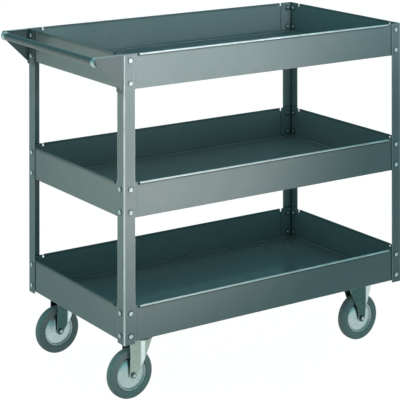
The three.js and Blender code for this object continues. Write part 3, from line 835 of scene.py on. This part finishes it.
def make_collar(side, sy):
    """The grooved collar at one end of the bar."""
    inner, outer = BAR_RADIUS + 0.15, COLLAR_RADIUS
    groove = outer - GROOVE_DEPTH
    profile = [(inner, 0), (outer - 0.5, 0), (outer, 0.5), (outer, GROOVE_LOW - 0.8)]
    profile += [(groove, GROOVE_LOW), (groove, GROOVE_HIGH), (outer, GROOVE_HIGH + 0.8)]
    profile += [(outer, COLLAR_LENGTH - 2.5), (outer - 0.9, COLLAR_LENGTH - 0.8)]
    profile += [(inner + 0.4, COLLAR_LENGTH), (inner, COLLAR_LENGTH)]
    profile = [(radius, -sy * (height - BAR_END)) for radius, height in profile]
    collar = Shell().turned(profile, (BAR_X, 0, BAR_Z), "y", 56)
    collar.piece(f"bar_collar_{side}", "zinc", "frame", [f"handle_collar_{side}"])


# ---- Wheels ----


def dome(radius):
    """How far the pressed disc stands out from the wheel's middle plane at a radius."""
    return 15.0 - 7.0 * (radius / 38.0) ** 2


def wheel_pieces(kind, side, x, y):
    """A disc wheel and its tyre. Each profile is written for one face and mirrored for the other."""
    centre = (x, y, AXLE_Z)
    body = f"{kind}_wheel_{side}"
    half = [(5.9, 15.4), (8.6, 15.4), (9.0, 15.0), (9.2, dome(9.2) - 0.2)]
    half += [(radius, dome(radius)) for radius in (10.5, 14, 18, 22, 26, 30, 34, 37.0)]
    half += [(38.2, 7.0), (38.8, 6.6), (39.6, 6.8), (40.2, 9.2), (41.0, 10.4), (42.0, 10.6), (DISC, 9.8)]
    disc = Shell().turned(both_faces(half), centre, "y", 72)
    disc.piece(f"{kind}_disc_{side}", "zinc", body, [f"{kind}_wheel_disc_{side}"])

    half = [(43.0, 9.4), (43.8, 10.3), (44.6, 11.8), (46.0, 12.4), (50.0, 12.5), (54.5, 12.4)]
    half += [(55.1, 11.9), (55.8, 11.9), (56.4, 12.3), (58.6, 11.9), (60.6, 10.9)]
    half += [(62.1, 9.3), (63.0, 7.3), (63.4, 4.6), (WHEEL, 1.5)]
    tyre = Shell().turned(both_faces(half), centre, "y", 96)
    tyre.piece(f"{kind}_rubber_tyre_{side}", "rubber", body, [f"{kind}_tyre_{side}"])


def axle_pieces(kind, side, x, y, body):
    """The axle bolt with its head on the left, its nut and washer on the right, and the sleeve."""
    centre = (x, y, AXLE_Z)
    face = LEG_OUT + 0.1
    bolt = Shell()
    profile = [(0, -face - 8.0), (3.4, -face - 8.0)]
    height = -face - 7.6
    while height < -face:
        profile += [(3.6, height), (4.0, height + 0.5)]
        height += 1.0
    profile += [(4.0, face), (7.9, face), (8.3, face + 0.3), (8.3, face + 1.0)]
    profile += [(6.6, face + 1.2), (0, face + 1.2)]
    # Painted light on the hub: painted highlight on the bolt and the head's face, painted shade on the head's
    # sides, the washer and the nut
    bolt.turned(profile, centre, "y", 32, PAINTED_LIGHT["axle"])
    wear = [PAINTED_LIGHT["axle_head"]] * 18 + [PAINTED_LIGHT["axle_head_face"]] * 6
    bolt.hexagon(AXLE_NUT, face + 1.0, face + 5.7, centre, "y", 12, wear)
    bolt.piece(f"{kind}_axle_{side}", "zinc", body, [f"{kind}_axle_bolt_{side}"])

    nut = Shell().ring(4.2, 8.4, -face - 1.0, -face, centre, "y", 32, chamfer=0.25, wear=PAINTED_LIGHT["axle_washer"])
    near, far = -face - 1.05, -face - 6.3
    outside = [(0.92 * AXLE_NUT, near), (AXLE_NUT, near - 0.45), (AXLE_NUT, far + 0.7), (0.9 * AXLE_NUT, far)]
    loops = hexagons(outside + [(AXLE_HOLE, far), (AXLE_HOLE, near)], centre, "y", 8)
    nut.loft(loops, ring=True, wear=[PAINTED_LIGHT["axle_nut"]] * 36)
    nut.piece(f"{kind}_lock_nut_{side}", "zinc", body, [f"{kind}_axle_nut_{side}"])

    sleeve = Shell().ring(4.3, 5.6, -15.7, 15.7, centre, "y", 32)
    sleeve.piece(f"{kind}_spacer_{side}", "steel", body, [f"{kind}_axle_sleeve_{side}"])


# ---- Forks ----


def foot_half(z):
    """Half the width of the round foot at a height."""
    return math.sqrt(max(FOOT**2 - (z - AXLE_Z) ** 2, 0.0))


def winged(x, crease, width, angle):
    """How far a wing stands in from the flat of the leg at x, past a crease of that width."""
    if x <= crease:
        return 0.0
    radius = width / math.sin(angle)
    if x < crease + width:
        return radius - math.sqrt(radius**2 - (x - crease) ** 2)
    return radius * (1 - math.cos(angle)) + (x - crease - width) * math.tan(angle)


def leg_rows(heights, back, front, depth):
    """Rows of points of one leg's outer face, from the top to the foot."""
    rows = []
    for z in heights:
        x0, x1 = back(z), front(z)
        across = [x0 + (x1 - x0) * k / LEG_STEPS for k in range(LEG_STEPS + 1)]
        rows.append([(x, -LEG_OUT + depth(x), z) for x in across])
    return rows


def crease_highlight(x, start, end):
    """The painted highlight on a leg: 1 across its rolled crease, falling to 0 within a few millimetres
    either side.
    """
    middle, half = (start + end) / 2, (end - start) / 2
    return min(max((half + 3.0 - abs(x - middle)) / 3.0, 0.0), 1.0)


def add_legs(shell, rows, wear):
    """Both legs of a fork, the second one mirrored."""
    for sign in (1, -1):
        shell.copied(Shell().plate(rows, LEG_SHEET, wear), Matrix.Diagonal((1, sign, 1, 1)))


def swivel_leg():
    """One leg in rows: a narrow foot that trails, a wing that widens upwards, and the bend at the top."""
    wing_foot, wing_top, wing_low_x, wing_high_x = 97.0, 150.0, 34.0, 69.0

    def back(z):
        if z > AXLE_Z:
            return -FOOT + 1.5 * min((z - AXLE_Z) / 30, 1)
        return -foot_half(z) - 0.01

    def front(z):
        if z > wing_foot:
            return wing_low_x + (wing_high_x - wing_low_x) * (z - wing_foot) / (wing_top - wing_foot)
        if z > AXLE_Z:
            return FOOT + (wing_low_x - FOOT) * (z - AXLE_Z) / (wing_foot - AXLE_Z)
        return foot_half(z) + 0.01

    def depth(x):
        return winged(x, 23.5, 10.0, math.radians(21))

    heights = [147.5, 140, 132, 124, 116, 108, 102, 97, 92, 86, 80, 74, 68] + FOOT_HEIGHTS
    rows = leg_rows(heights, back, front, depth)
    bend, crown = 2.2, []
    for step in range(4):
        angle = math.radians(90 - 18 * step)
        inwards, rise = bend * (1 - math.cos(angle)), bend * math.sin(angle)
        crown.append([(x, y + inwards, z + rise) for x, y, z in rows[0]])
    return crown + rows


def make_swivel_fork(side, sy):
    """Two legs under a round crown, with a painted highlight along the crease where the wings start."""
    rows = swivel_leg()
    shell = Shell()
    add_legs(shell, rows, [crease_highlight(x, 24.0, 34.0) for row in rows for x, _, _ in row])
    shell.ring(5.8, 34.0, CROWN_LOW, CROWN_HIGH - 0.2, (TRAIL, 0, 0), "z", 64, chamfer=0.7)
    # A bridge between the legs, hollowed where it meets the crown
    hollow = arc(TRAIL, 0, 20, 210, 150, 6)
    bridge = [(-8.5, -15.9), (14, -15.9)] + hollow + [(14, 15.9), (-8.5, 15.9)]
    shell.prism(bridge, CROWN_LOW + 0.1, CROWN_HIGH - 0.3, "z", 0.3)
    shell.moved(SWIVEL_X - TRAIL, sy * CASTER_Y)
    finish = "fork_zinc" if side == "right" else "shaded_zinc"
    shell.piece(f"swivel_yoke_{side}", finish, f"swivel_{side}", [f"swivel_fork_{side}"])


def fixed_leg():
    """One leg in rows: a narrow foot that widens upwards, with a wing on either side of a flat middle."""
    widths = [(AXLE_Z, FOOT), (87, 13), (111, 22.5), (139, 35.5), (162, 37.5)]

    def half(z):
        if z <= AXLE_Z:
            return foot_half(z) + 0.01
        for (z0, w0), (z1, w1) in zip(widths, widths[1:]):
            if z <= z1:
                return w0 + (w1 - w0) * (z - z0) / (z1 - z0)
        return widths[-1][1]

    def depth(x):
        return winged(abs(x), 12.0, 4.0, math.radians(14))

    heights = [163.4, 161, 155, 147, 139, 131, 123, 115, 108, 100, 93, 87, 80, 73, 68] + FOOT_HEIGHTS
    return leg_rows(heights, lambda z: -half(z), half, depth)


def make_fixed_fork(side, sy):
    """Two legs under a plate, with a painted highlight on the front wings."""
    rows = fixed_leg()
    shell = Shell()
    wing_start, fade = 13.0, 3.0
    shares = [min(max((x - wing_start) / fade, 0.0), 1.0) for row in rows for x, _, _ in row]
    add_legs(shell, rows, [PAINTED_LIGHT["fixed_wing"] * share for share in shares])
    shell.prism(rounded_rectangle(PLATE_X, PLATE_Y, PLATE_CORNER), PLATE_LOW, PLATE_HIGH, "z", 0.4)
    shell.moved(FIXED_X, sy * CASTER_Y)
    shell.piece(f"fixed_yoke_{side}", "shaded_zinc", "frame", [f"fixed_fork_{side}"])


def plate_bolts(sy, x, name):
    """Four hex bolts through the tray floor and one caster plate, with nuts under the plate."""
    floor = RIMS["bottom"] - TRAY_WALL + TRAY_SHEET
    nut_high = PLATE_LOW - 0.05
    shell = Shell()
    for dx in (-HOLE_X, HOLE_X):
        for dy in (-HOLE_Y, HOLE_Y):
            centre = (x + dx, sy * CASTER_Y + dy, 0)
            shell.hexagon(4.6, floor + 1.0, floor + 4.6, centre, "z", random.uniform(0, 60))
            shell.ring(2.0, 6.0, floor + 0.05, floor + 1.05, centre, "z", 28, chamfer=0.2)
            shell.hexagon(4.5, nut_high - 3.75, nut_high, centre, "z", random.uniform(0, 60))
            threaded(shell, PLATE_LOW - 5.5, floor + 1.5, 2.4, centre)
    shell.piece(name, "zinc", "frame")


def make_race(side, sy):
    """Two pressed races with a ring of balls between them."""
    centre = (SWIVEL_X, sy * CASTER_Y, 0)
    shell = Shell()
    upper = [(14.2, 158.6), (21.5, 158.6), (22.5, 158.9), (23.4, 159.8), (25.6, 159.8), (26.4, 157.4)]
    upper += [(27, 157.4), (27, 161.2), (26.4, 161.9), (14.2, 161.9)]
    lower = [(14.2, 152.5), (25.4, 152.5), (26, 153.1), (26, 155.9), (25.5, 156.1), (25, 154.7)]
    lower += [(22.6, 154.6), (21.5, 155.8), (14.2, 155.8)]
    shell.turned(upper, centre, "z", 48)
    shell.turned(lower, centre, "z", 48)
    ball = [(0, -RACE_BALL)] + arc(0, 0, RACE_BALL, -67.5, 67.5, 6) + [(0, RACE_BALL)]
    for k in range(RACE_BALLS):
        angle = 2 * math.pi * k / RACE_BALLS
        x, y = RACE_TRACK * math.cos(angle), RACE_TRACK * math.sin(angle)
        shell.turned(ball, (centre[0] + x, centre[1] + y, RACE_Z), "z", 12)
    shell.piece(f"ball_race_{side}", "steel", "frame", [f"swivel_race_{side}"])


def make_swivel_mount(side, sy):
    """What stays on the cart when a swivel caster turns: plate, kingpin and ball race."""
    spot = (SWIVEL_X, sy * CASTER_Y)
    outline = rounded_rectangle(PLATE_X, PLATE_Y, PLATE_CORNER)
    plate = Shell().prism(outline, PLATE_LOW, PLATE_HIGH, "z", 0.4).moved(*spot)
    plate.piece(f"caster_plate_{side}", "zinc", "frame", [f"swivel_plate_{side}"])
    rivet = [(0, 144.6), (3.2, 144.6), (3.8, 145.3), (4.6, 145.3), (5.4, 144.5), (7.6, 144.9), (9.2, 146.2)]
    rivet += [(9.9, 148.0), (9.9, 149.3), (5.3, 149.4), (5.3, 162.0), (0, 162.0)]
    pin = Shell().turned(rivet, (*spot, 0), "z", 40)
    pin.piece(f"kingpin_{side}", "zinc", "frame", [f"swivel_kingpin_{side}"])
    make_race(side, sy)


# ---- The cart ----

for tray in RIMS:
    make_tray(tray)
for corner in CORNERS:
    make_post(*corner)
    make_corner_bolts(*corner)
make_bar()
for hand, sign in SIDES.items():
    make_collar(hand, sign)
    make_bracket(hand, sign)
for hand, sign in SIDES.items():
    make_swivel_mount(hand, sign)
    make_swivel_fork(hand, sign)
    make_fixed_fork(hand, sign)
    wheel_pieces("swivel", hand, SWIVEL_X - TRAIL, sign * CASTER_Y)
    wheel_pieces("fixed", hand, FIXED_X, sign * CASTER_Y)
    axle_pieces("swivel", hand, SWIVEL_X - TRAIL, sign * CASTER_Y, f"swivel_{hand}")
    axle_pieces("fixed", hand, FIXED_X, sign * CASTER_Y, "frame")
    plate_bolts(sign, SWIVEL_X, f"swivel_plate_bolts_{hand}")
    plate_bolts(sign, FIXED_X, f"fixed_plate_bolts_{hand}")


# ---- Studio ----


def make_floor():
    """A pale floor, near white for the camera. It gives reflections more light than it gives surfaces."""
    g = Graph(bpy.data.materials.new("pale_floor"))
    where = g.node("TexCoord").outputs["Object"]
    path = g.node("LightPath").outputs
    tone = g.mix(g.noise(where, 4.0), (0.80, 0.81, 0.81), (0.84, 0.845, 0.845))
    lit = g.node("BsdfPrincipled", Base_Color=tone, Roughness=0.9)
    white = g.node("Emission", Color=(1.0, 1.0, 1.0), Strength=1.14)
    strength = g.maths("ADD", g.times(path["Is Glossy Ray"], 0.81), 0.09)
    given = g.node("Emission", Color=(0.78, 0.95, 0.93), Strength=strength)
    both = g.shaders(path["Is Camera Ray"], given, g.shaders(0.86, lit, white))
    g.node("OutputMaterial", Surface=both.outputs[0])
    reach = 40.0
    corners = [(x * reach, y * reach, 0) for x, y in ((-1, -1), (1, -1), (1, 1), (-1, 1))]
    data = bpy.data.meshes.new("studio_floor")
    data.from_pydata(corners, [], [(0, 1, 2, 3)])
    data.materials.append(g.owner)
    item = added("studio_floor", data)
    item.location.z = -0.0006


def make_world():
    """White for the camera. For all else a green-blue studio, lightest near the horizon."""
    g = Graph(bpy.data.worlds.new("studio"))
    where = g.node("TexCoord").outputs["Generated"]
    height = g.node("SeparateXYZ", Vector=where).outputs["Z"]
    ramp = g.node("ValToRGB", Fac=height)
    stops = ramp.color_ramp.elements
    stops[0].color = (0.28, 0.70, 0.75, 1)
    stops[1].color = (0.10, 0.30, 0.33, 1)
    for position, colour in ((0.12, (0.27, 0.68, 0.73, 1)), (0.35, (0.13, 0.34, 0.37, 1))):
        stops.new(position).color = colour
    sky = g.node("Background", Color=ramp.outputs[0])
    white = g.node("Background", Color=(1.0, 1.0, 1.0))
    both = g.shaders(g.node("LightPath").outputs["Is Camera Ray"], sky, white)
    g.node("OutputWorld", Surface=both.outputs[0])
    bpy.context.scene.world = g.owner


def softbox(name, place, target, power, colour, spread, size=0.5, tall=0.2, mirrored=False):
    """A soft light. A mirrored one is seen only in reflections, any other one never is."""
    light = bpy.data.lights.new(name, "AREA")
    light.shape = "RECTANGLE"
    light.size = size
    light.size_y = tall
    light.energy = power
    light.spread = spread
    light.color = colour
    item = added(name, light)
    item.location = place
    item.rotation_mode = "QUATERNION"
    item.rotation_quaternion = (Vector(target) - Vector(place)).to_track_quat("-Z", "Y")
    item.visible_camera = False
    item.visible_glossy = mirrored
    item.visible_diffuse = not mirrored
    return item


def shade(light, names):
    """Keeps a light off some pieces, as a black card in front of them would."""
    shaded = bpy.data.collections.new(light.name + "_card")
    for name in names:
        shaded.objects.link(bpy.data.objects[name])
    light.light_linking.receiver_collection = shaded
    for member in shaded.collection_objects:
        member.light_linking.link_state = "EXCLUDE"


def make_lights():
    """Low lights on all four sides, a narrow one on the long side, and a panel overhead."""
    side = softbox("side", (0.24, -1.40, 0.12), (-0.72, -0.254, 1.08), 6.1, (1.0, 0.93, 0.92), 1.32)
    shade(side, ["corner_post_rear_left", "handle_cheek_left"])
    softbox("end", (-2.50, 0.89, 0.12), (-0.457, -0.60, 0.90), 2.3, (1.0, 0.98, 0.86), 0.76)
    softbox("beam", (0.0, -3.3, 1.42), (0.0, 0.25, 0.95), 1.0, (0.85, 0.97, 1.05), 0.24, 1.6, 0.15)
    softbox("rear_side", (-0.10, 1.45, 0.12), (0.66, 0.254, 1.22), 6.4, (1.0, 0.96, 0.93), 1.6)
    softbox("rear_end", (2.50, 0.5, 0.12), (0.457, 0.1, 0.7), 4.5, (1.0, 1.0, 0.97), 0.9)
    softbox("overhead", (0.0, 0.0, 3.2), (0.0, 0.0, 0.0), 52, (0.95, 1.0, 1.0), math.pi, 3.5, 3.5, True)


CAMERA_PLACE = (-2.4550 + SHIFT * MM, -3.5441, 1.5669)
CAMERA_AHEAD = (0.554, 0.8325, 0.0)
CAMERA_ROLL = -0.071
CAMERA_LENS = 138.71
LENS_SHIFT = {"shift_x": 0.0315, "shift_y": -1.043}


def make_camera():
    """A level camera with a strong lens shift, as a product photographer's view camera has."""
    data = bpy.data.cameras.new("studio_camera")
    data.sensor_width = 36.0
    data.lens = CAMERA_LENS
    data.clip_start = 0.05
    data.clip_end = 200.0
    item = added("studio_camera", data)
    item.location = CAMERA_PLACE
    item.rotation_mode = "QUATERNION"
    level = Vector(CAMERA_AHEAD).to_track_quat("-Z", "Y")
    roll = Matrix.Rotation(math.radians(CAMERA_ROLL), 3, "Z").to_quaternion()
    item.rotation_quaternion = level @ roll
    # The shift belongs to this standpoint only, so a camera moved elsewhere looks straight ahead
    for channel, amount in LENS_SHIFT.items():
        driver = data.driver_add(channel).driver
        driver.type = "SCRIPTED"
        height = driver.variables.new()
        height.name = "height"
        height.type = "TRANSFORMS"
        height.targets[0].id = item
        height.targets[0].transform_type = "LOC_Z"
        height.targets[0].transform_space = "WORLD_SPACE"
        driver.expression = f"{amount} if abs(height - {CAMERA_PLACE[2]}) < 0.0005 else 0.0"
    bpy.context.scene.camera = item


make_floor()
make_world()
make_lights()
make_camera()
bpy.context.scene.view_settings.view_transform = "Standard"
